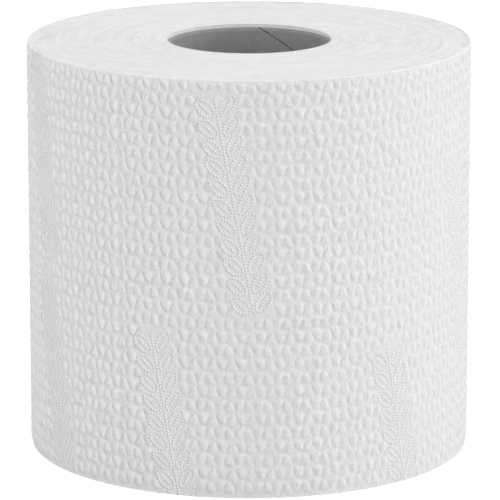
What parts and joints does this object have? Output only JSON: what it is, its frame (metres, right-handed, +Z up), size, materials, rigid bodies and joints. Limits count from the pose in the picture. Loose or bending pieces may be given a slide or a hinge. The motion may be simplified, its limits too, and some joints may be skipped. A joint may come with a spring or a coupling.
{
  "type": "toilet paper roll",
  "caption": "Roll of white embossed toilet tissue wound on a grey paperboard core, standing on its flat end, with a through hole for a holder's spindle.",
  "frame": {"origin": "middle of the lower end, on the axis of the core's hole", "axes": "+Z up along the roll's axis, -Y towards the front, and the loose end of the sheet is at the back"},
  "size_m": [0.109, 0.1088, 0.1016],
  "materials": {
    "tissue": "soft matte white tissue with a fine embossed pattern",
    "paperboard": "matte grey recycled board"
  },
  "bodies": {
    "root": {"tissue_roll": "tissue", "core_tube": "paperboard"}
  },
  "joints": []
}
